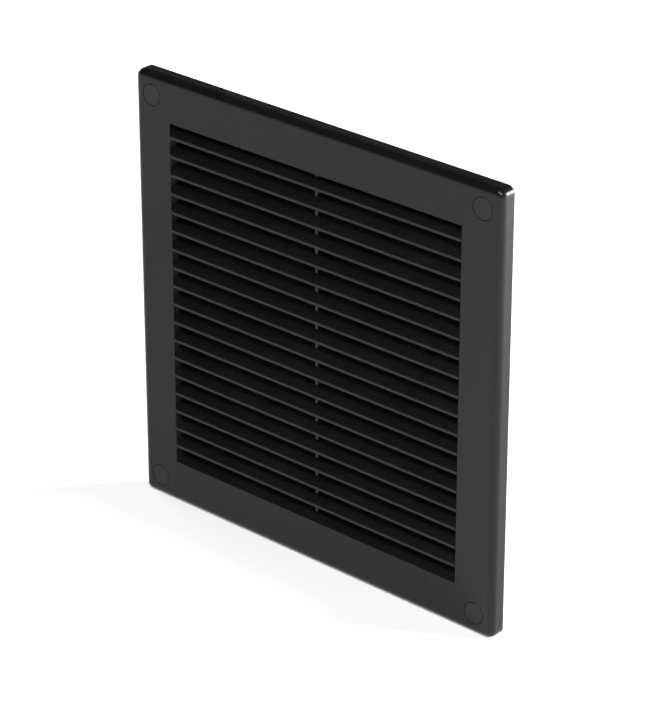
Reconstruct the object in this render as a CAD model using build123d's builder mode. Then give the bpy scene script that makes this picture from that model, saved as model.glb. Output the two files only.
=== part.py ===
"""Square louvred air grille that screws to a wall over a ventilation opening.

Millimetres. The wall plane is Y = 0, the grille's face looks along -Y, Z is up and X is to the right as seen
from the front. The origin is the middle of the four wall screws, on the wall plane. Heights are measured from
the wall plane towards the face, so a point at height h lies at Y = -h.
"""

from build123d import *

import os
from math import cos, radians, sqrt, tan

os.makedirs("parts", exist_ok=True)

# ---------------------------------------------------------------- driving dimensions
PLATE_SIZE = 190.0
PLATE_DEPTH = 7.2
BORDER_WIDTH = 19.0
PLATE_CORNER_RADIUS = 3.2
FACE_EDGE_RADIUS = 3.0
OPENING_EDGE_RADIUS = 0.3
WALL = 2.0
WEB_THICKNESS = 1.4  # stiffening webs behind the face
WEB_HEIGHT = 2.5

BLADE_COUNT = 18
BLADE_THICKNESS = 1.2
BLADE_SLOPE = radians(38.0)
BLADE_EDGE_RADIUS = 0.25
TOP_BLADE_ROOM = 1.05  # free height between the top blade's back edge and the opening's top
TENON_SETBACK = 1.2  # from the face to the front of the blades' hidden ends

RIB_THICKNESS = 1.45
RIB_SETBACK = 3.55  # from the face to the rib's front edge

SCREEN_THICKNESS = 0.8
SCREEN_STRAND = 0.8
SCREEN_PITCH = 6.0
STAKE_RADIUS = 0.9
STAKE_HEAD_RADIUS = 1.6
STAKE_HEAD_HEIGHT = 0.6
POST_RADIUS = 2.2
POST_BITE = 0.44  # how far a post runs into the cheek beside it

SCREW_INSET = 9.25  # from the plate's outer edges to a screw's axis
SCREW_THREAD_RADIUS = 1.75
SCREW_SHANK_RADIUS = 1.45
SCREW_HEAD_RADIUS = 3.5
SCREW_HEAD_ANGLE = 90
SCREW_THREAD_LENGTH = 6.0
SCREW_TIP_LENGTH = 2.1
SCREW_TIP_RADIUS = 0.3
RECESS_DEPTH = 1.3  # cross recess in a screw's head
RECESS_SPAN = 3.8
RECESS_SLOT = 1.0
RECESS_TAPER = 8
BOSS_RADIUS = 7.6

CAP_SEAT_RADIUS = 4.75
CAP_SEAT_DEPTH = 2.6
CAP_GROOVE_WIDTH = 0.25  # ring groove round a cap's front disc
CAP_GROOVE_DEPTH = 0.6
CAP_DISC_THICKNESS = 0.9
CAP_SKIRT_WALL = 0.9
CAP_EDGE_RADIUS = 0.2

# ---------------------------------------------------------------- clearances
SEAT_CLEARANCE = 0.05  # each side, between a blade or the rib and the slot that holds it
CAP_CLEARANCE = 0.05  # radial, between a cap's skirt and its seat
SCREW_CLEARANCE = 0.4  # radial, between a screw's thread and the hole it goes through
HEAD_CLEARANCE = 0.05  # radial, between a screw's head and its countersink
STAKE_CLEARANCE = 0.1  # radial, between a stake and its hole in the screen
SCREEN_GAP = 0.1  # between the blades' back edges and the screen
STAKE_TO_WALL = 0.1
BOSS_TO_SCREEN = 0.4

# ---------------------------------------------------------------- derived dimensions
OPENING_SIZE = PLATE_SIZE - 2 * BORDER_WIDTH
OPENING_HALF = OPENING_SIZE / 2
SKIN_HEIGHT = PLATE_DEPTH - WALL  # back of the face's skin
CHEEK_HALF = OPENING_HALF + WALL  # outside of the walls round the opening
RIM_INSIDE = PLATE_SIZE - 2 * WALL

SCREEN_BACK = STAKE_TO_WALL + STAKE_HEAD_HEIGHT
SCREEN_FRONT = SCREEN_BACK + SCREEN_THICKNESS
BLADE_BACK = SCREEN_FRONT + SCREEN_GAP
RIB_BACK = BLADE_BACK

SLOPE = tan(BLADE_SLOPE)
BLADE_RISE = (PLATE_DEPTH - BLADE_BACK) * SLOPE
LIP_HEIGHT = BLADE_THICKNESS / cos(BLADE_SLOPE)
BLADE_PITCH = (OPENING_SIZE - BLADE_RISE - TOP_BLADE_ROOM) / BLADE_COUNT
LIP_TOPS = [OPENING_HALF - BLADE_RISE - TOP_BLADE_ROOM - BLADE_PITCH * k for k in range(BLADE_COUNT)]

TENON_FRONT = PLATE_DEPTH - TENON_SETBACK
TENON_LENGTH = WALL / 2
RIB_FRONT = PLATE_DEPTH - RIB_SETBACK
LAP_HEIGHT = (RIB_FRONT + BLADE_BACK) / 2  # where the rib's slots meet the blades' notches

SCREW_REACH = PLATE_SIZE / 2 - SCREW_INSET
CAP_FLOOR = PLATE_DEPTH - CAP_SEAT_DEPTH
SCREW_HOLE_RADIUS = SCREW_THREAD_RADIUS + SCREW_CLEARANCE
SINK_RADIUS = SCREW_HEAD_RADIUS + HEAD_CLEARANCE

POST_LINE = CHEEK_HALF + POST_RADIUS - POST_BITE
POST_SPACING = OPENING_SIZE / 3
POST_STEPS = [-POST_SPACING, 0.0, POST_SPACING]
WEB_SPACING = 0.4 * OPENING_SIZE
WEB_STEPS = [-WEB_SPACING / 2, WEB_SPACING / 2]
SCREEN_HALF = POST_LINE + POST_RADIUS

CORNERS = {
    "top_left": (-SCREW_REACH, SCREW_REACH),
    "top_right": (SCREW_REACH, SCREW_REACH),
    "bottom_left": (-SCREW_REACH, -SCREW_REACH),
    "bottom_right": (SCREW_REACH, -SCREW_REACH),
}


def at_height(height):
    """Plane parallel to the wall: its X is X, its Y is Z and it looks out of the grille's face."""
    return Plane.XZ.offset(height)


def slat_outline(front_height, back_height, growth=0.0):
    """Corners, as (Y, Z), of the slanted band that a blade fills, from a lip whose top edge is at Z = 0."""
    front_rise = (PLATE_DEPTH - front_height) * SLOPE
    back_rise = (PLATE_DEPTH - back_height) * SLOPE
    extra = growth / cos(BLADE_SLOPE)
    return [
        (-front_height, front_rise + extra),
        (-back_height, back_rise + extra),
        (-back_height, back_rise - LIP_HEIGHT - extra),
        (-front_height, front_rise - LIP_HEIGHT - extra),
    ]


def axial_plane(x, z):
    """Plane through a screw's axis, on which turned profiles are drawn as (radius, height)."""
    return Plane((x, 0, z), x_dir=(1, 0, 0), z_dir=(0, 0, -1))


def screw_axis(x, z):
    return Axis((x, 0, z), (0, -1, 0))


def around_opening(steps, distance):
    """Places along the four sides of the opening, each side at the same distance from the middle."""
    places = []
    for step in steps:
        places += [(step, distance), (step, -distance), (distance, step), (-distance, step)]
    return places


def save(part, name):
    part.label = name
    export_step(part, f"parts/{name}.step")


# ---------------------------------------------------------------- frame
POSTS = around_opening(POST_STEPS, POST_LINE)
WEB_LENGTH = RIM_INSIDE / 2 - CHEEK_HALF
WEB_LINE = CHEEK_HALF + WEB_LENGTH / 2

with BuildPart() as face_frame:
    # Face and rim: a square plate with a rounded front edge, hollowed from the back round the opening.
    with BuildSketch(at_height(0)):
        RectangleRounded(PLATE_SIZE, PLATE_SIZE, PLATE_CORNER_RADIUS)
    extrude(amount=PLATE_DEPTH)
    fillet(face_frame.faces().sort_by(Axis.Y)[0].edges(), FACE_EDGE_RADIUS)
    with BuildSketch(at_height(0)):
        RectangleRounded(RIM_INSIDE, RIM_INSIDE, PLATE_CORNER_RADIUS - WALL)
        Rectangle(2 * CHEEK_HALF, 2 * CHEEK_HALF, mode=Mode.SUBTRACT)
    extrude(amount=SKIN_HEIGHT, mode=Mode.SUBTRACT)
    # The opening, and its cheeks cut back to where the screen lies.
    with BuildSketch(at_height(0)):
        Rectangle(OPENING_SIZE, OPENING_SIZE)
    extrude(amount=PLATE_DEPTH, mode=Mode.SUBTRACT)
    with BuildSketch(at_height(0)):
        Rectangle(2 * CHEEK_HALF, 2 * CHEEK_HALF)
    extrude(amount=SCREEN_FRONT, mode=Mode.SUBTRACT)
    # Sill: the bottom of the opening slopes like a blade.
    with BuildSketch(Plane.YZ):
        with Locations((0, -OPENING_HALF)):
            Polygon(*slat_outline(PLATE_DEPTH, SCREEN_FRONT), align=None)
    extrude(amount=OPENING_HALF + TENON_LENGTH, both=True)
    # Posts that carry the screen, with the stakes that hold it.
    with BuildSketch(at_height(SCREEN_FRONT)):
        with Locations(POSTS):
            Circle(POST_RADIUS)
    extrude(until=Until.NEXT)
    with BuildSketch(at_height(SCREEN_BACK)):
        with Locations(POSTS):
            Circle(STAKE_RADIUS)
    extrude(amount=SCREEN_THICKNESS)
    with BuildSketch(at_height(STAKE_TO_WALL)):
        with Locations(POSTS):
            Circle(STAKE_HEAD_RADIUS)
    extrude(amount=STAKE_HEAD_HEIGHT)
    # Stiffening webs behind the face.
    with BuildSketch(at_height(SKIN_HEIGHT - WEB_HEIGHT)):
        for step in WEB_STEPS:
            with Locations((step, WEB_LINE), (step, -WEB_LINE)):
                Rectangle(WEB_THICKNESS, WEB_LENGTH)
            with Locations((WEB_LINE, step), (-WEB_LINE, step)):
                Rectangle(WEB_LENGTH, WEB_THICKNESS)
    extrude(amount=WEB_HEIGHT)
    # Corner bosses, each with a cap seat, a countersink and a screw hole.
    with BuildSketch(at_height(0)):
        with Locations(list(CORNERS.values())):
            Circle(BOSS_RADIUS)
    extrude(amount=SKIN_HEIGHT)
    with BuildSketch(at_height(CAP_FLOOR)):
        with Locations(list(CORNERS.values())):
            Circle(CAP_SEAT_RADIUS)
    extrude(amount=CAP_SEAT_DEPTH, mode=Mode.SUBTRACT)
    with Locations(at_height(CAP_FLOOR)):
        with Locations([(x, z, 0) for x, z in CORNERS.values()]):
            CounterSinkHole(SCREW_HOLE_RADIUS, SINK_RADIUS, counter_sink_angle=SCREW_HEAD_ANGLE)
    # Sockets: blade ends in the side cheeks, and the rib's top end in the top cheek.
    with BuildSketch(Plane.YZ):
        with Locations([(0, lip_top) for lip_top in LIP_TOPS]):
            Polygon(*slat_outline(TENON_FRONT, 0, SEAT_CLEARANCE), align=None)
    extrude(amount=OPENING_HALF + TENON_LENGTH, both=True, mode=Mode.SUBTRACT)
    with BuildSketch(Plane.YZ):
        with Locations((-(RIB_FRONT + RIB_BACK) / 2, OPENING_HALF)):
            Rectangle(RIB_FRONT - RIB_BACK + 2 * SEAT_CLEARANCE, 2 * (TENON_LENGTH + SEAT_CLEARANCE))
    extrude(amount=RIB_THICKNESS / 2 + SEAT_CLEARANCE, both=True, mode=Mode.SUBTRACT)
    # The opening's front edge is broken all round.
    front_edges = face_frame.faces().sort_by(Axis.Y)[0].inner_wires().edges()
    fillet(front_edges.filter_by(GeomType.LINE), OPENING_EDGE_RADIUS)
save(face_frame.part, "face_frame")

# ---------------------------------------------------------------- blades
BLADE_REACH = OPENING_HALF - SEAT_CLEARANCE
TENON_REACH = OPENING_HALF + TENON_LENGTH - SEAT_CLEARANCE

for number, lip_top in enumerate(LIP_TOPS, start=1):
    with BuildPart() as louvre:
        with BuildSketch(Plane.YZ):
            with Locations((0, lip_top)):
                Polygon(*slat_outline(PLATE_DEPTH, BLADE_BACK), align=None)
        extrude(amount=BLADE_REACH, both=True)
        # The blunt front edge is rounded top and bottom.
        front_edges = louvre.faces().sort_by(Axis.Y)[0].edges().filter_by(Axis.X)
        fillet(front_edges, BLADE_EDGE_RADIUS)
        # Tenons that slide into the cheeks, hidden behind the face.
        with BuildSketch(Plane.YZ):
            with Locations((0, lip_top)):
                Polygon(*slat_outline(TENON_FRONT - SEAT_CLEARANCE, BLADE_BACK), align=None)
        extrude(amount=TENON_REACH, both=True)
        # Notch in the back edge that laps with the rib.
        with BuildSketch(at_height(LAP_HEIGHT + SEAT_CLEARANCE)):
            with Locations((0, lip_top + BLADE_RISE / 2)):
                Rectangle(RIB_THICKNESS + 2 * SEAT_CLEARANCE, 2 * BLADE_RISE)
        extrude(amount=-LAP_HEIGHT, mode=Mode.SUBTRACT)
    save(louvre.part, f"louvre_{number:02d}")

# ---------------------------------------------------------------- centre rib
SILL_CLEARANCE = SEAT_CLEARANCE / cos(BLADE_SLOPE)
RIB_TOP = OPENING_HALF + TENON_LENGTH
RIB_FOOT_FRONT = -OPENING_HALF + (PLATE_DEPTH - RIB_FRONT) * SLOPE + SILL_CLEARANCE
RIB_FOOT_BACK = -OPENING_HALF + (PLATE_DEPTH - RIB_BACK) * SLOPE + SILL_CLEARANCE

with BuildPart() as centre_rib:
    with BuildSketch(Plane.YZ):
        Polygon(
            (-RIB_FRONT, RIB_FOOT_FRONT),
            (-RIB_BACK, RIB_FOOT_BACK),
            (-RIB_BACK, RIB_TOP),
            (-RIB_FRONT, RIB_TOP),
            align=None,
        )
        with Locations([(0, lip_top) for lip_top in LIP_TOPS]):
            Polygon(*slat_outline(PLATE_DEPTH, LAP_HEIGHT, SEAT_CLEARANCE), align=None, mode=Mode.SUBTRACT)
    extrude(amount=RIB_THICKNESS / 2, both=True)
save(centre_rib.part, "centre_rib")

# ---------------------------------------------------------------- insect screen
NET_SIZE = OPENING_SIZE - 2 * SCREEN_STRAND
NET_COUNT = round((NET_SIZE + SCREEN_STRAND) / SCREEN_PITCH)
NET_PITCH = (NET_SIZE + SCREEN_STRAND) / NET_COUNT
NET_HOLE = NET_PITCH - SCREEN_STRAND
# The screen's corners are cut off square to the diagonals, just short of the bosses.
CENTRE_TO_CUT = SCREW_REACH * sqrt(2) - BOSS_RADIUS - BOSS_TO_SCREEN
SCREEN_CORNER_CUT = 2 * SCREEN_HALF - CENTRE_TO_CUT * sqrt(2)

with BuildPart() as insect_screen:
    with BuildSketch(at_height(SCREEN_BACK)) as outline:
        Rectangle(2 * SCREEN_HALF, 2 * SCREEN_HALF)
        chamfer(outline.vertices(), SCREEN_CORNER_CUT)
        with Locations(POSTS):
            Circle(STAKE_RADIUS + STAKE_CLEARANCE, mode=Mode.SUBTRACT)
        with GridLocations(NET_PITCH, NET_PITCH, NET_COUNT, NET_COUNT):
            Rectangle(NET_HOLE, NET_HOLE, mode=Mode.SUBTRACT)
    extrude(amount=SCREEN_THICKNESS)
save(insect_screen.part, "insect_screen")

# ---------------------------------------------------------------- wall screws
HEAD_FOOT = CAP_FLOOR - (SCREW_HEAD_RADIUS - SCREW_SHANK_RADIUS) / tan(radians(SCREW_HEAD_ANGLE / 2))
SCREW_END = -SCREW_THREAD_LENGTH - SCREW_TIP_LENGTH

SCREW_PROFILE = [
    (0, CAP_FLOOR),
    (SCREW_HEAD_RADIUS, CAP_FLOOR),
    (SCREW_SHANK_RADIUS, HEAD_FOOT),
    (SCREW_SHANK_RADIUS, 0),
    (SCREW_THREAD_RADIUS, 0),
    (SCREW_THREAD_RADIUS, -SCREW_THREAD_LENGTH),
    (SCREW_TIP_RADIUS, SCREW_END),
    (0, SCREW_END),
]

for place, (x, z) in CORNERS.items():
    with BuildPart() as wall_screw:
        with BuildSketch(axial_plane(x, z)):
            Polygon(*SCREW_PROFILE, align=None)
        revolve(axis=screw_axis(x, z))
        # Cross recess for the driver.
        with BuildSketch(at_height(CAP_FLOOR)):
            with Locations((x, z)):
                Rectangle(RECESS_SPAN, RECESS_SLOT)
                Rectangle(RECESS_SLOT, RECESS_SPAN)
        extrude(amount=-RECESS_DEPTH, taper=RECESS_TAPER, mode=Mode.SUBTRACT)
    save(wall_screw.part, f"wall_screw_{place}")

# ---------------------------------------------------------------- screw caps
CAP_SKIRT_RADIUS = CAP_SEAT_RADIUS - CAP_CLEARANCE
CAP_DISC_RADIUS = CAP_SEAT_RADIUS - CAP_GROOVE_WIDTH
CAP_BORE_RADIUS = CAP_SKIRT_RADIUS - CAP_SKIRT_WALL
CAP_SHOULDER = PLATE_DEPTH - CAP_GROOVE_DEPTH
CAP_CEILING = PLATE_DEPTH - CAP_DISC_THICKNESS

CAP_PROFILE = [
    (0, PLATE_DEPTH),
    (CAP_DISC_RADIUS, PLATE_DEPTH),
    (CAP_DISC_RADIUS, CAP_SHOULDER),
    (CAP_SKIRT_RADIUS, CAP_SHOULDER),
    (CAP_SKIRT_RADIUS, CAP_FLOOR),
    (CAP_BORE_RADIUS, CAP_FLOOR),
    (CAP_BORE_RADIUS, CAP_CEILING),
    (0, CAP_CEILING),
]

for place, (x, z) in CORNERS.items():
    with BuildPart() as screw_cap:
        with BuildSketch(axial_plane(x, z)):
            Polygon(*CAP_PROFILE, align=None)
        revolve(axis=screw_axis(x, z))
        fillet(screw_cap.faces().sort_by(Axis.Y)[0].edges(), CAP_EDGE_RADIUS)
    save(screw_cap.part, f"screw_cap_{place}")
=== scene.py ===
"""Louvred air grille: materials, moulding detail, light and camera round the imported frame. Metres."""

from math import cos, pi, radians, sin

import bmesh
import bpy
from mathutils import Matrix, Vector
from mathutils.geometry import tessellate_polygon


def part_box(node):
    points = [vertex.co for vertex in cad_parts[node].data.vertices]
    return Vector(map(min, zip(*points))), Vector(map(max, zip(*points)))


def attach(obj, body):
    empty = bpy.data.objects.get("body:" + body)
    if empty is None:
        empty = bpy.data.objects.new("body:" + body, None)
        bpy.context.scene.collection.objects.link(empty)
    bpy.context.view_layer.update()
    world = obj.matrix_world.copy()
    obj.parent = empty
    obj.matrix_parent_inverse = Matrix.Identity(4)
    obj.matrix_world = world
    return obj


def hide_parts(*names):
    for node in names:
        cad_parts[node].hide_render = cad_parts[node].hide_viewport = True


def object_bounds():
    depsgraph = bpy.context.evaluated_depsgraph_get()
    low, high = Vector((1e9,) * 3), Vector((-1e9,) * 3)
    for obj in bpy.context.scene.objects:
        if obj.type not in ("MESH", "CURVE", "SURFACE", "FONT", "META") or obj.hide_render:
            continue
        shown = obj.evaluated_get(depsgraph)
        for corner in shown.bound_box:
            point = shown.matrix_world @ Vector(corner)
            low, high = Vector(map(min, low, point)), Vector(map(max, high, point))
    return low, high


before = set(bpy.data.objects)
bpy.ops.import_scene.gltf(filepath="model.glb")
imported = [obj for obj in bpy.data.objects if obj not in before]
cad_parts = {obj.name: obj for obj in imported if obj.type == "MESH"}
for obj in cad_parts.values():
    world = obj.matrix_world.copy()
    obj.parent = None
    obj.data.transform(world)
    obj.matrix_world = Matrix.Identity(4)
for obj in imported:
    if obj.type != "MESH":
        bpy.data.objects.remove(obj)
cad_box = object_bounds()

MM = 0.001
LOUVRES = sorted(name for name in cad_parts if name.startswith("louvre_"))
CAPS = sorted(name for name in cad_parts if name.startswith("screw_cap_"))
SCREWS = sorted(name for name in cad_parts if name.startswith("wall_screw_"))
WHITE = (1.0, 1.0, 1.0, 1.0)


# ---------------------------------------------------------------- node helpers
# Octaves of noise that a pattern is made of.
SMOOTH = 2.0
MEDIUM = 3.0
RICH = 4.0

# Most of the noise lies between these values.
NOISE_LOW = 0.3
NOISE_HIGH = 0.7


def new_material(name):
    material = bpy.data.materials.new(name)
    material.use_nodes = True
    tree = material.node_tree
    tree.nodes.clear()
    output = tree.nodes.new("ShaderNodeOutputMaterial")
    shader = tree.nodes.new("ShaderNodeBsdfPrincipled")
    tree.links.new(shader.outputs["BSDF"], output.inputs["Surface"])
    return material, tree, shader


def noise(tree, scale, detail, stretch=(1, 1, 1)):
    """Noise that is fixed in the object's own frame, in cells per metre."""
    place = tree.nodes.new("ShaderNodeTexCoord")
    mapping = tree.nodes.new("ShaderNodeMapping")
    mapping.inputs["Scale"].default_value = stretch
    texture = tree.nodes.new("ShaderNodeTexNoise")
    texture.inputs["Scale"].default_value = scale
    texture.inputs["Detail"].default_value = detail
    tree.links.new(place.outputs["Object"], mapping.inputs["Vector"])
    tree.links.new(mapping.outputs["Vector"], texture.inputs["Vector"])
    return texture.outputs["Fac"]


def spread(tree, value, low, high, from_low=NOISE_LOW, from_high=NOISE_HIGH):
    """Maps a value, by default noise, onto the range low to high."""
    node = tree.nodes.new("ShaderNodeMapRange")
    node.inputs["From Min"].default_value = from_low
    node.inputs["From Max"].default_value = from_high
    node.inputs["To Min"].default_value = low
    node.inputs["To Max"].default_value = high
    tree.links.new(value, node.inputs["Value"])
    return node.outputs["Result"]


def combine(tree, operation, first, second):
    """Joins two values, each a number or a socket, by a math operation."""
    node = tree.nodes.new("ShaderNodeMath")
    node.operation = operation
    for socket, value in zip(node.inputs, (first, second)):
        if isinstance(value, float):
            socket.default_value = value
        else:
            tree.links.new(value, socket)
    return node.outputs["Value"]


def blend_colours(tree, factor, first, second):
    """Colour between two colours, each a triple or a socket."""
    node = tree.nodes.new("ShaderNodeMix")
    node.data_type = "RGBA"
    tree.links.new(factor, node.inputs["Factor"])
    colour_inputs = [socket for socket in node.inputs if socket.type == "RGBA"]
    colour_output = next(socket for socket in node.outputs if socket.type == "RGBA")
    for socket, colour in zip(colour_inputs, (first, second)):
        if isinstance(colour, tuple):
            socket.default_value = (*colour, 1.0)
        else:
            tree.links.new(colour, socket)
    return colour_output


def bump(tree, height, distance, strength, below=None):
    node = tree.nodes.new("ShaderNodeBump")
    node.inputs["Distance"].default_value = distance
    node.inputs["Strength"].default_value = strength
    tree.links.new(height, node.inputs["Height"])
    if below is not None:
        tree.links.new(below, node.inputs["Normal"])
    return node.outputs["Normal"]


WEAR_RADIUS = 0.35 * MM
WEAR_SAMPLES = 6
WORN_BELOW = 0.8  # agreement of the true and the rounded normal where an edge counts as fully worn
FLAT_ABOVE = 0.98  # and where it counts as flat


def edge_wear(tree):
    """0 on flat surfaces, towards 1 on edges."""
    bevel = tree.nodes.new("ShaderNodeBevel")
    bevel.samples = WEAR_SAMPLES
    bevel.inputs["Radius"].default_value = WEAR_RADIUS
    geometry = tree.nodes.new("ShaderNodeNewGeometry")
    dot = tree.nodes.new("ShaderNodeVectorMath")
    dot.operation = "DOT_PRODUCT"
    tree.links.new(bevel.outputs["Normal"], dot.inputs[0])
    tree.links.new(geometry.outputs["Normal"], dot.inputs[1])
    return spread(tree, dot.outputs["Value"], 1.0, 0.0, from_low=WORN_BELOW, from_high=FLAT_ABOVE)


# ---------------------------------------------------------------- plastic
# Pattern sizes, in cells per metre.
FLOW_SCALE = 14
CLOUD_SCALE = 45
WEAR_PATCH_SCALE = 260
COARSE_GRAIN_SCALE = 1500
FINE_GRAIN_SCALE = 3800

FLOW_STRETCH = (1, 1, 0.35)  # flow marks run up and down
FLOW_SHADE = 0.2  # tone of the darkest flow marks
CLOUD_SHADE = 0.6  # tone of the darkest clouds
WEAR_PALENESS = 3.0  # a worn edge is this many times paler
WEAR_SHARE = 0.8
CLOUD_SMOOTHER = 0.04  # how far clouds move the roughness down
CLOUD_ROUGHER = 0.05  # and up
GRAIN_ROUGHNESS_STEP = 0.03
FINE_GRAIN_STRENGTH = 0.5
COARSE_GRAIN_STRENGTH = 0.35
COARSE_GRAIN_RATIO = 1.6  # depth of the coarse grain, in depths of the fine grain
PLASTIC_IOR = 1.5

BLACK = (0.0040, 0.0040, 0.0043)
CHARCOAL = (0.0075, 0.0075, 0.0079)
NET_GREY = (0.014, 0.014, 0.014)
FRAME_GLOSS = 0.25
INSERT_GLOSS = 0.29
SATIN_GRAIN = 0.006 * MM
MATT_GRAIN = 0.008 * MM


def moulded_plastic(name, light, roughness, gloss, grain_depth):
    """Satin black plastic from a spark-eroded mould: fine grain, slow flow marks and paler rubbed edges."""
    material, tree, shader = new_material(name)
    flow = noise(tree, FLOW_SCALE, SMOOTH, stretch=FLOW_STRETCH)
    cloud = noise(tree, CLOUD_SCALE, RICH)
    grain = noise(tree, FINE_GRAIN_SCALE, SMOOTH)
    coarse_grain = noise(tree, COARSE_GRAIN_SCALE, SMOOTH)
    patches = spread(tree, noise(tree, WEAR_PATCH_SCALE, RICH), 0.0, WEAR_SHARE)
    wear = combine(tree, "MULTIPLY", edge_wear(tree), patches)
    flow_tone = spread(tree, flow, FLOW_SHADE, 1.0)
    cloud_tone = spread(tree, cloud, CLOUD_SHADE, 1.0)
    tone = combine(tree, "MULTIPLY", flow_tone, cloud_tone)
    colour = blend_colours(tree, tone, BLACK, light)
    colour = blend_colours(tree, wear, colour, tuple(WEAR_PALENESS * value for value in light))
    tree.links.new(colour, shader.inputs["Base Color"])
    clouded = spread(tree, cloud, roughness - CLOUD_SMOOTHER, roughness + CLOUD_ROUGHER)
    grained = spread(tree, grain, -GRAIN_ROUGHNESS_STEP, GRAIN_ROUGHNESS_STEP)
    tree.links.new(combine(tree, "ADD", clouded, grained), shader.inputs["Roughness"])
    shader.inputs["IOR"].default_value = PLASTIC_IOR
    shader.inputs["Specular IOR Level"].default_value = gloss
    fine = bump(tree, grain, grain_depth, FINE_GRAIN_STRENGTH)
    coarse_depth = COARSE_GRAIN_RATIO * grain_depth
    relief = bump(tree, coarse_grain, coarse_depth, COARSE_GRAIN_STRENGTH, below=fine)
    tree.links.new(relief, shader.inputs["Normal"])
    return material


FRAME_PLASTIC = moulded_plastic("frame_plastic", CHARCOAL, 0.24, FRAME_GLOSS, SATIN_GRAIN)
BLADE_PLASTIC = moulded_plastic("blade_plastic", CHARCOAL, 0.26, INSERT_GLOSS, SATIN_GRAIN)
CAP_PLASTIC = moulded_plastic("cap_plastic", CHARCOAL, 0.24, INSERT_GLOSS, SATIN_GRAIN)
NET_PLASTIC = moulded_plastic("net_plastic", NET_GREY, 0.45, INSERT_GLOSS, MATT_GRAIN)


# ---------------------------------------------------------------- steel
STEEL_DARK = (0.30, 0.31, 0.31)
STEEL_LIGHT = (0.42, 0.41, 0.37)
STEEL_SMOOTHEST = 0.26
STEEL_ROUGHEST = 0.42
STEEL_CLOUD_SCALE = 400
TURNING_SCALE = 900
TURNING_STRETCH = (1, 6, 1)
TURNING_DEPTH = 0.02 * MM
TURNING_STRENGTH = 0.4


def zinc_steel(name):
    """Zinc plate with a faint yellow passivate and fine turning lines."""
    material, tree, shader = new_material(name)
    cloud = noise(tree, STEEL_CLOUD_SCALE, MEDIUM)
    lines = noise(tree, TURNING_SCALE, SMOOTH, stretch=TURNING_STRETCH)
    colour = blend_colours(tree, spread(tree, cloud, 0.0, 1.0), STEEL_DARK, STEEL_LIGHT)
    tree.links.new(colour, shader.inputs["Base Color"])
    shader.inputs["Metallic"].default_value = 1.0
    tree.links.new(spread(tree, cloud, STEEL_SMOOTHEST, STEEL_ROUGHEST), shader.inputs["Roughness"])
    tree.links.new(bump(tree, lines, TURNING_DEPTH, TURNING_STRENGTH), shader.inputs["Normal"])
    return material


SCREW_STEEL = zinc_steel("screw_steel")


# ---------------------------------------------------------------- dress of the CAD pieces
def dress(node, material):
    """Gives a CAD node its material."""
    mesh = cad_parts[node].data
    mesh.materials.clear()
    mesh.materials.append(material)


dress("face_frame", FRAME_PLASTIC)
dress("centre_rib", BLADE_PLASTIC)
for louvre in LOUVRES:
    dress(louvre, BLADE_PLASTIC)
for cap in CAPS:
    dress(cap, CAP_PLASTIC)


# ---------------------------------------------------------------- shape helpers
def add_piece(name, mesh, material, replaced):
    """Puts a mesh on the grille in place of a CAD node."""
    mesh.materials.clear()
    mesh.materials.append(material)
    piece = bpy.data.objects.new(name, mesh)
    bpy.context.scene.collection.objects.link(piece)
    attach(piece, "grille")
    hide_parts(replaced)


def mesh_from(builder, name):
    """Turns a finished bmesh into a mesh with its faces looking outwards."""
    bmesh.ops.recalc_face_normals(builder, faces=builder.faces)
    mesh = bpy.data.meshes.new(name)
    builder.to_mesh(mesh)
    builder.free()
    return mesh


def ring(builder, centre, radii):
    """Ring of evenly spaced points round a line along Y, one point for each radius."""
    points = []
    for step, radius in enumerate(radii):
        angle = 2 * pi * step / len(radii)
        points.append(builder.verts.new(centre + Vector((radius * cos(angle), 0, radius * sin(angle)))))
    return points


def skin_rings(builder, rings):
    """Faces between neighbouring rings, closed at both ends."""
    for first, second in zip(rings, rings[1:]):
        for step in range(len(first)):
            following = (step + 1) % len(first)
            builder.faces.new((first[step], first[following], second[following], second[step]))
    builder.faces.new(list(reversed(rings[0])))
    builder.faces.new(rings[-1])


# ---------------------------------------------------------------- wall screws
# Countersunk head with a cross recess, plain shank in the boss and a coarse thread behind the wall plane.
SHANK_RADIUS = 1.45 * MM
HEAD_EDGE_INSET = 0.15 * MM
HEAD_EDGE_HEIGHT = 0.05 * MM
THREAD_RADIUS = 1.73 * MM
THREAD_ROOT = 1.2 * MM
THREAD_PITCH = 1.4 * MM
THREAD_FLANK = 0.3  # half width of the ridge's foot, as a share of the pitch
TIP_LENGTH = 2.1 * MM
TIP_RADIUS = 0.12 * MM
SCREW_SEGMENTS = 40
RINGS_PER_PITCH = 12
RECESS_DEPTH = 1.3 * MM
RECESS_OVERSHOOT = RECESS_DEPTH / 4  # how far the cutter stands out of the head
RECESS_REACH = 1.9 * MM  # from the axis to an arm's end, at the head's face
RECESS_HALF_WIDTH = 0.5 * MM
RECESS_FLOOR_REACH = 0.9 * MM
RECESS_FLOOR_HALF_WIDTH = 0.3 * MM
SCREW_SHARP_ANGLE = radians(35)


def thread_radius(depth, length, turn):
    """Radius of the threaded part at a depth behind the wall plane and an angle in turns."""
    phase = (depth / THREAD_PITCH - turn) % 1.0
    ridge = max(0.0, 1.0 - abs(phase - 0.5) / THREAD_FLANK)
    run_in = min(1.0, depth / THREAD_PITCH)
    taper = min(1.0, max(0.0, (length - depth) / TIP_LENGTH))
    full = THREAD_ROOT + ridge * run_in * (THREAD_RADIUS - THREAD_ROOT)
    return TIP_RADIUS + (full - TIP_RADIUS) * taper


def cross_outline(reach, half_width):
    """Twelve corners of a cross, in order round it, by quarter turns of one inner corner."""
    corners = [(half_width, reach), (half_width, half_width), (reach, half_width)]
    outline = []
    for _ in range(4):
        outline += corners
        corners = [(z, -x) for x, z in corners]
    return outline


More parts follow.
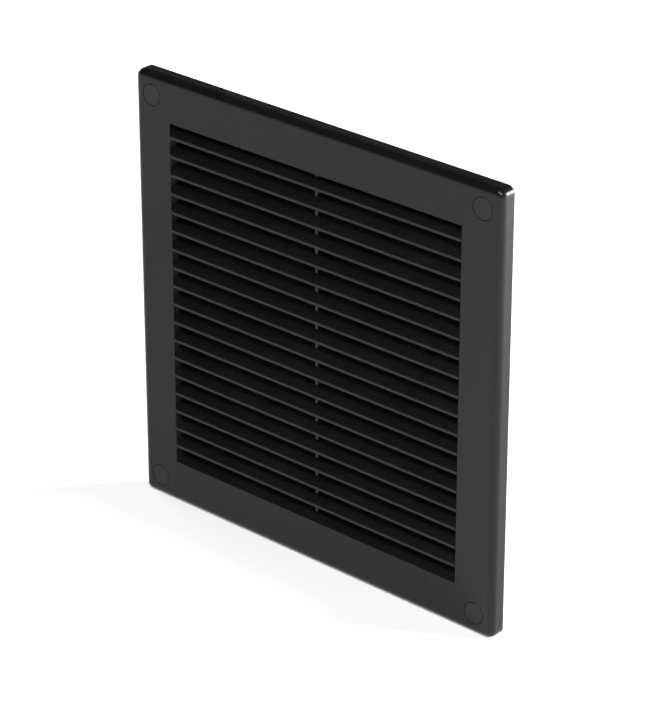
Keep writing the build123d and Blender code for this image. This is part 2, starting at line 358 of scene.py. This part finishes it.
def recess_cutter(axis, head_y):
    """Tapered cross that the driver's tip fits, as a solid reaching a little out of the head."""
    levels = (
        (head_y - RECESS_OVERSHOOT, RECESS_REACH, RECESS_HALF_WIDTH),
        (head_y, RECESS_REACH, RECESS_HALF_WIDTH),
        (head_y + RECESS_DEPTH, RECESS_FLOOR_REACH, RECESS_FLOOR_HALF_WIDTH),
    )
    builder = bmesh.new()
    outlines = []
    for y, reach, half_width in levels:
        corners = cross_outline(reach, half_width)
        outlines.append([builder.verts.new(axis + Vector((x, y, z))) for x, z in corners])
    skin_rings(builder, outlines)
    return bpy.data.objects.new("recess", mesh_from(builder, "recess"))


def screw_blank(name, axis, head_y, head_radius, length):
    """The screw without its recess."""
    turned = (
        (head_y, head_radius - HEAD_EDGE_INSET),
        (head_y + HEAD_EDGE_HEIGHT, head_radius),
        (head_y + head_radius - SHANK_RADIUS, SHANK_RADIUS),
        (0, SHANK_RADIUS),
    )
    builder = bmesh.new()
    rings = [ring(builder, axis + Vector((0, y, 0)), [radius] * SCREW_SEGMENTS) for y, radius in turned]
    count = round(length / THREAD_PITCH * RINGS_PER_PITCH)
    turns = [step / SCREW_SEGMENTS for step in range(SCREW_SEGMENTS)]
    for step in range(count + 1):
        depth = length * step / count
        radii = [thread_radius(depth, length, turn) for turn in turns]
        rings.append(ring(builder, axis + Vector((0, depth, 0)), radii))
    skin_rings(builder, rings)
    return bpy.data.objects.new(name + "_blank", mesh_from(builder, name + "_blank"))


def cut_away(blank, cutter, name):
    """Mesh of the first object without the room that the second one takes. Both objects are removed."""
    for helper in (blank, cutter):
        bpy.context.scene.collection.objects.link(helper)
    cut = blank.modifiers.new("recess", "BOOLEAN")
    cut.operation = "DIFFERENCE"
    cut.solver = "EXACT"
    cut.object = cutter
    graph = bpy.context.evaluated_depsgraph_get()
    mesh = bpy.data.meshes.new_from_object(blank.evaluated_get(graph))
    for helper in (blank, cutter):
        bpy.data.objects.remove(helper)
    mesh.name = name
    return mesh


def screw_mesh(name, box):
    low, high = box
    axis = Vector(((low.x + high.x) / 2, 0, (low.z + high.z) / 2))
    head_radius = (high.x - low.x) / 2
    blank = screw_blank(name, axis, low.y, head_radius, high.y)
    mesh = cut_away(blank, recess_cutter(axis, low.y), name)
    mesh.set_sharp_from_angle(angle=SCREW_SHARP_ANGLE)
    return mesh


for screw in SCREWS:
    mesh = screw_mesh(screw + "_turned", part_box(screw))
    add_piece("threaded_" + screw, mesh, SCREW_STEEL, screw)


# ---------------------------------------------------------------- insect net
# A moulded border held by the frame's stakes, and two layers of fine strands welded where they cross.
NET_STRAND_RADIUS = 0.22 * MM
NET_PITCH = 2.4 * MM
NET_SIDES = 8
NET_SHARP_ANGLE = radians(50)
BORDER_LAP = 0.8 * MM  # how far the border shows inside the opening
NET_GRIP = 0.5 * MM  # how far the strands run into the border
STAKE_INSET = 2.2 * MM  # from the net's outer edge to the stakes' axes
STAKE_HOLE_RADIUS = 1.0 * MM
STAKE_HOLE_SIDES = 24
TENON_LENGTH = 1.0 * MM  # of the hidden ends of a blade
SEAT_CLEARANCE = 0.05 * MM
OPENING_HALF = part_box("louvre_01")[1].x - TENON_LENGTH + SEAT_CLEARANCE


def strand(builder, start, end):
    """Round strand between two points, closed at both ends."""
    forward = Vector((0, 1, 0))
    across = (end - start).normalized().cross(forward)
    loops = []
    for place in (start, end):
        loop = []
        for step in range(NET_SIDES):
            angle = 2 * pi * step / NET_SIDES
            outwards = cos(angle) * across + sin(angle) * forward
            loop.append(builder.verts.new(place + NET_STRAND_RADIUS * outwards))
        loops.append(loop)
    skin_rings(builder, loops)


def stake_hole(x, z):
    """Outline of a round hole in the border."""
    angles = [2 * pi * step / STAKE_HOLE_SIDES for step in range(STAKE_HOLE_SIDES)]
    return [(x + STAKE_HOLE_RADIUS * cos(angle), z + STAKE_HOLE_RADIUS * sin(angle)) for angle in angles]


def border_outlines(half, corner, inner):
    """The border's edge, a square with its corners cut off, then its square opening and its stake holes."""
    edge = [
        (half, -corner),
        (half, corner),
        (corner, half),
        (-corner, half),
        (-half, corner),
        (-half, -corner),
        (-corner, -half),
        (corner, -half),
    ]
    outlines = [edge, [(inner, inner), (-inner, inner), (-inner, -inner), (inner, -inner)]]
    line = half - STAKE_INSET
    spacing = 2 * OPENING_HALF / 3
    for along in (-spacing, 0.0, spacing):
        for x, z in ((along, line), (along, -line), (line, along), (-line, along)):
            outlines.append(stake_hole(x, z))
    return outlines


def add_border(builder, outlines, front_y, back_y):
    """Flat sheet with holes between two planes, as a closed solid."""
    triangles = tessellate_polygon([[Vector((x, z, 0)) for x, z in outline] for outline in outlines])
    sheets = []
    for y in (front_y, back_y):
        sheet = [[builder.verts.new((x, y, z)) for x, z in outline] for outline in outlines]
        points = [point for loop in sheet for point in loop]
        for triangle in triangles:
            builder.faces.new([points[corner] for corner in triangle])
        sheets.append(sheet)
    for front, back in zip(*sheets):
        for step in range(len(front)):
            builder.faces.new((front[step - 1], front[step], back[step], back[step - 1]))


def add_strands(builder, inner, front_y, back_y):
    """Upright strands in front and level ones behind, sunk a little into each other."""
    reach = inner + NET_GRIP
    count = round(2 * inner / NET_PITCH)
    for step in range(1, count):
        place = -inner + 2 * inner * step / count
        strand(builder, Vector((place, front_y, -reach)), Vector((place, front_y, reach)))
        strand(builder, Vector((-reach, back_y, place)), Vector((reach, back_y, place)))


def net_mesh(name, node):
    low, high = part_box(node)
    diagonal = max(vertex.co.x + vertex.co.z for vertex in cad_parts[node].data.vertices)
    inner = OPENING_HALF - BORDER_LAP
    builder = bmesh.new()
    add_border(builder, border_outlines(high.x, diagonal - high.x, inner), low.y, high.y)
    add_strands(builder, inner, low.y + NET_STRAND_RADIUS, high.y - NET_STRAND_RADIUS)
    mesh = mesh_from(builder, name)
    for face in mesh.polygons:
        face.use_smooth = True
    mesh.set_sharp_from_angle(angle=NET_SHARP_ANGLE)
    return mesh


add_piece("fine_net", net_mesh("net", "insect_screen"), NET_PLASTIC, "insect_screen")


# ---------------------------------------------------------------- lamps and sky
def direction_from_grille(azimuth, elevation):
    return Vector(
        (
            sin(azimuth) * cos(elevation),
            -cos(azimuth) * cos(elevation),
            sin(elevation),
        )
    )


def area_lamp(name, azimuth, elevation, distance, size, power):
    """Softbox aimed at the grille, placed by its direction in degrees: azimuth 0 is in front, 90 is right."""
    lamp = bpy.data.lights.new(name, "AREA")
    lamp.shape = "RECTANGLE"
    lamp.size, lamp.size_y = size
    lamp.energy = power
    holder = bpy.data.objects.new(name, lamp)
    bpy.context.scene.collection.objects.link(holder)
    away = direction_from_grille(radians(azimuth), radians(elevation))
    holder.location = away * distance
    holder.rotation_mode = "QUATERNION"
    holder.rotation_quaternion = away.to_track_quat("Z", "Y")


# Name, azimuth, elevation, distance, width and height, watts.
area_lamp("back_right", 130, 14, 1.1, (0.5, 0.4), 29)
area_lamp("front_high", 12, 55, 1.3, (0.4, 0.4), 7)
area_lamp("left_back", -105, 14, 1.3, (0.5, 0.4), 3)
area_lamp("corner_glint", 46, 42, 1.0, (0.05, 0.05), 4)

# White near the horizon and dark overhead.
HORIZON_TOP = sin(radians(7))
SKY_BOTTOM = sin(radians(12))
SKY_GLOW = 0.05

world = bpy.data.worlds.new("studio")
bpy.context.scene.world = world
world.use_nodes = True
sky = world.node_tree
direction = sky.nodes.new("ShaderNodeTexCoord")
split = sky.nodes.new("ShaderNodeSeparateXYZ")
sky.links.new(direction.outputs["Generated"], split.inputs["Vector"])
sky_glow = spread(sky, split.outputs["Z"], 1.0, SKY_GLOW, from_low=HORIZON_TOP, from_high=SKY_BOTTOM)
background = sky.nodes["Background"]
background.inputs["Color"].default_value = WHITE
sky.links.new(sky_glow, background.inputs["Strength"])

# ---------------------------------------------------------------- floor
FLOOR_HALF = 4.0
FLOOR_GREY = (0.9, 0.9, 0.9, 1.0)
FLOOR_ROUGHNESS = 0.8
# Glow of the floor close to the grille, kept low as painted shade round its foot; it rises to full between
# the two distances below.
FLOOR_GLOW_IN_PAINTED_SHADE = 0.35
FLOOR_GLOW_FAR = 1.0
GLOW_RISES_FROM = 0.35  # metres from the grille
GLOW_FULL_AT = 1.0


def studio_floor(name):
    """White table, whose glow shows only to the camera, in reflections and through glass."""
    material, tree, shader = new_material(name)
    shader.inputs["Base Color"].default_value = FLOOR_GREY
    shader.inputs["Roughness"].default_value = FLOOR_ROUGHNESS
    shader.inputs["Specular IOR Level"].default_value = 0.0
    shader.inputs["Emission Color"].default_value = WHITE
    path = tree.nodes.new("ShaderNodeLightPath")
    seen = combine(tree, "MAXIMUM", path.outputs["Is Camera Ray"], path.outputs["Is Glossy Ray"])
    seen = combine(tree, "MAXIMUM", seen, path.outputs["Is Transmission Ray"])
    # The glow is dimmer near the grille. This is painted shade round the grille's foot, which the camera sees
    # and the grille's glossy faces reflect as a darker floor. The lamps light the middle of the floor, and
    # the full glow takes over further out.
    place = tree.nodes.new("ShaderNodeTexCoord")
    distance = tree.nodes.new("ShaderNodeVectorMath")
    distance.operation = "LENGTH"
    tree.links.new(place.outputs["Object"], distance.inputs[0])
    away = distance.outputs["Value"]
    glow = spread(tree, away, FLOOR_GLOW_IN_PAINTED_SHADE, FLOOR_GLOW_FAR, GLOW_RISES_FROM, GLOW_FULL_AT)
    tree.links.new(combine(tree, "MULTIPLY", seen, glow), shader.inputs["Emission Strength"])
    return material


floor_z = cad_box[0].z
floor_corners = [(FLOOR_HALF * x, FLOOR_HALF * y, floor_z) for x, y in ((-1, -1), (1, -1), (1, 1), (-1, 1))]
floor_mesh = bpy.data.meshes.new("floor")
floor_mesh.from_pydata(floor_corners, [], [(0, 1, 2, 3)])
floor_mesh.materials.append(studio_floor("floor_white"))
floor = bpy.data.objects.new("floor", floor_mesh)
bpy.context.scene.collection.objects.link(floor)

# ---------------------------------------------------------------- camera
CAMERA_AZIMUTH = radians(42.189)
CAMERA_ELEVATION = radians(25.908)
CAMERA_DISTANCE = 1.2856
CAMERA_RIGHT = 0.0009  # where the camera aims, beside and above the middle of the grille's wall plane
CAMERA_UP = -0.00625
CAMERA_LENS = 161.85

camera_data = bpy.data.cameras.new("camera")
camera_data.lens = CAMERA_LENS
camera = bpy.data.objects.new("camera", camera_data)
bpy.context.scene.collection.objects.link(camera)
back = direction_from_grille(CAMERA_AZIMUTH, CAMERA_ELEVATION)
right = back.cross(Vector((0, 0, -1))).normalized()
up = back.cross(right)
place = back * CAMERA_DISTANCE + right * CAMERA_RIGHT + up * CAMERA_UP
camera.matrix_world = Matrix.Translation(place) @ Matrix((right, up, back)).transposed().to_4x4()
bpy.context.scene.camera = camera
bpy.context.scene.view_settings.view_transform = "Standard"
